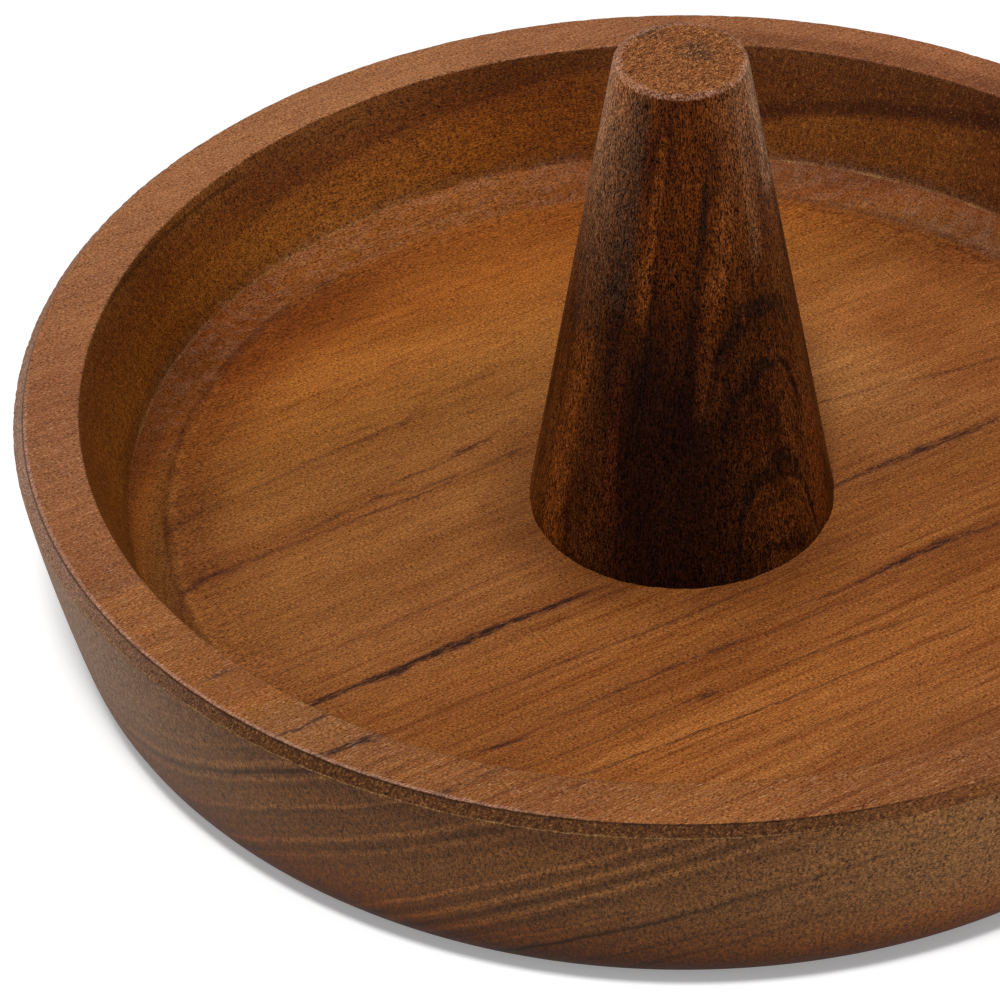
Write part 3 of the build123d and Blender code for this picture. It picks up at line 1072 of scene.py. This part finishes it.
def photo_camera():
    """The camera of the photograph, placed by its distance and rise from the rim's centre."""
    rise, distance = math.radians(37.48), 0.44165
    yaw, pitch, roll = math.radians(-2.578), math.radians(38.784), math.radians(-1.737)
    place = Vector((0, -math.cos(rise) * distance, math.sin(rise) * distance + RIM * MM))
    clear_selection()
    bpy.ops.object.camera_add(location=place)
    camera = bpy.context.object
    camera.name = "photo_camera"
    camera.data.sensor_width = 36
    camera.data.lens = 186.37
    camera.data.clip_start = 0.01
    camera.data.clip_end = 50
    aim = Matrix.Rotation(-yaw, 4, "Z") @ Matrix.Rotation(math.pi / 2 - pitch, 4, "X")
    camera.matrix_world = Matrix.Translation(place) @ aim @ Matrix.Rotation(roll, 4, "Z")
    bpy.context.scene.camera = camera


def studio():
    """A pale floor that shows white, an overhead softbox and an even pale room."""
    clear_selection()
    # a hair above the resting face, and clear from below, so that the underside can be looked at
    bpy.ops.mesh.primitive_circle_add(vertices=96, radius=4, fill_type="NGON", location=(0, 0, 0.01 * MM))
    floor = bpy.context.object
    floor.name = "studio_floor"
    paper = bpy.data.materials.new("studio_paper")
    paper.use_nodes = True
    nodes, links = paper.node_tree.nodes, paper.node_tree.links
    nodes.clear()
    # the floor is white where it is looked at or mirrored, and a duller grey where it lights the wood
    path = nodes.new("ShaderNodeLightPath")
    seen = path.outputs["Is Camera Ray"]
    for ray in ("Is Glossy Ray", "Is Transmission Ray"):
        either = nodes.new("ShaderNodeMath")
        either.operation = "MAXIMUM"
        links.new(seen, either.inputs[0])
        links.new(path.outputs[ray], either.inputs[1])
        seen = either.outputs[0]
    matt = nodes.new("ShaderNodeBsdfDiffuse")
    matt.inputs["Color"].default_value = (0.3, 0.3, 0.3, 1)
    white = nodes.new("ShaderNodeBsdfDiffuse")
    white.inputs["Color"].default_value = (0.98, 0.98, 0.98, 1)
    glow = nodes.new("ShaderNodeEmission")
    glow.inputs["Strength"].default_value = 0.21
    lit = nodes.new("ShaderNodeAddShader")
    links.new(white.outputs[0], lit.inputs[0])
    links.new(glow.outputs[0], lit.inputs[1])
    shown = nodes.new("ShaderNodeMixShader")
    clear = nodes.new("ShaderNodeBsdfTransparent")
    side = nodes.new("ShaderNodeNewGeometry")
    one_way = nodes.new("ShaderNodeMixShader")
    output = nodes.new("ShaderNodeOutputMaterial")
    for blend, share, first, second in (
        (shown, seen, matt.outputs[0], lit.outputs[0]),
        (one_way, side.outputs["Backfacing"], shown.outputs[0], clear.outputs[0]),
    ):
        links.new(share, blend.inputs[0])
        links.new(first, blend.inputs[1])
        links.new(second, blend.inputs[2])
    links.new(one_way.outputs[0], output.inputs["Surface"])
    floor.data.materials.append(paper)

    softbox("overhead_softbox", (-0.1, -0.42, 0.98), (0, 0, 0), 0.16, 7.4)
    softbox("left_softbox", (-0.8, -0.2, 0.2), (0, 0, 0.02), 0.3, 1.2)
    softbox("right_softbox", (0.8, -0.3, 0.2), (0, 0, 0.02), 0.3, 1.3)
    world = bpy.data.worlds.new("studio_room")
    world.use_nodes = True
    room = world.node_tree.nodes["Background"]
    room.inputs["Color"].default_value = (0.28, 0.28, 0.28, 1)
    room.inputs["Strength"].default_value = 1
    bpy.context.scene.world = world


def wear_dish(dish):
    """Chips along the band, a worn edge, a groove at the toe and walls that wave a little."""
    mark_places(dish, "band", lambda r, z: min(1, (r - 56.1) / 0.2) if r > 56.1 and z > 20.1 else 0)
    wear(dish, "band", worn_pattern("band_chips", 0.6, 0.42, 0.72), 0.07)
    mark_places(dish, "edge", lambda r, z: bell(r, 55.95, 0.5) if z > 20.8 else 0)
    wear(dish, "edge", worn_pattern("edge_chips", 1.1, 0.45, 0.75), 0.05)
    mark_places(dish, "toe", lambda r, z: bell(r, 44.4, 0.9) if 8 < z < 10 else 0)
    wear(dish, "toe", None, 0.07)
    mark_places(dish, "walls", lambda r, z: bell(z, 15, 6) if 47 < r < 51.4 and z > 9 else 0)
    wear(dish, "walls", worn_pattern("wall_waves", 9, 0.3, 0.7), 0.08)


def wear_cone(cone):
    """A ragged foot and a worn crown."""
    mark_places(cone, "foot", lambda r, z: bell(z, 8.9, 1.1) if r > 12.5 else 0)
    wear(cone, "foot", worn_pattern("foot_chips", 1.5, 0.42, 0.8), 0.13)
    mark_places(cone, "crown", lambda r, z: bell(z, 53.65, 0.8) if r > 4.7 else 0)
    wear(cone, "crown", worn_pattern("crown_chips", 1.6, 0.4, 0.75), 0.1)


photo_camera()
studio()

dish = make_dish()
wear_dish(dish)
smooth_piece(dish, 40)
dish.data.materials.append(dish_wood())
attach(dish, "root")
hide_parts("dish")

cone = make_ring_cone()
wear_cone(cone)
smooth_piece(cone, 40)
cone.data.materials.append(cone_wood())
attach(cone, "root")
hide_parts("ring_cone")

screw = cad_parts["cone_screw"]
steel = plated_steel()
for slot in screw.material_slots:
    slot.material = steel

bpy.context.scene.view_settings.view_transform = "Standard"
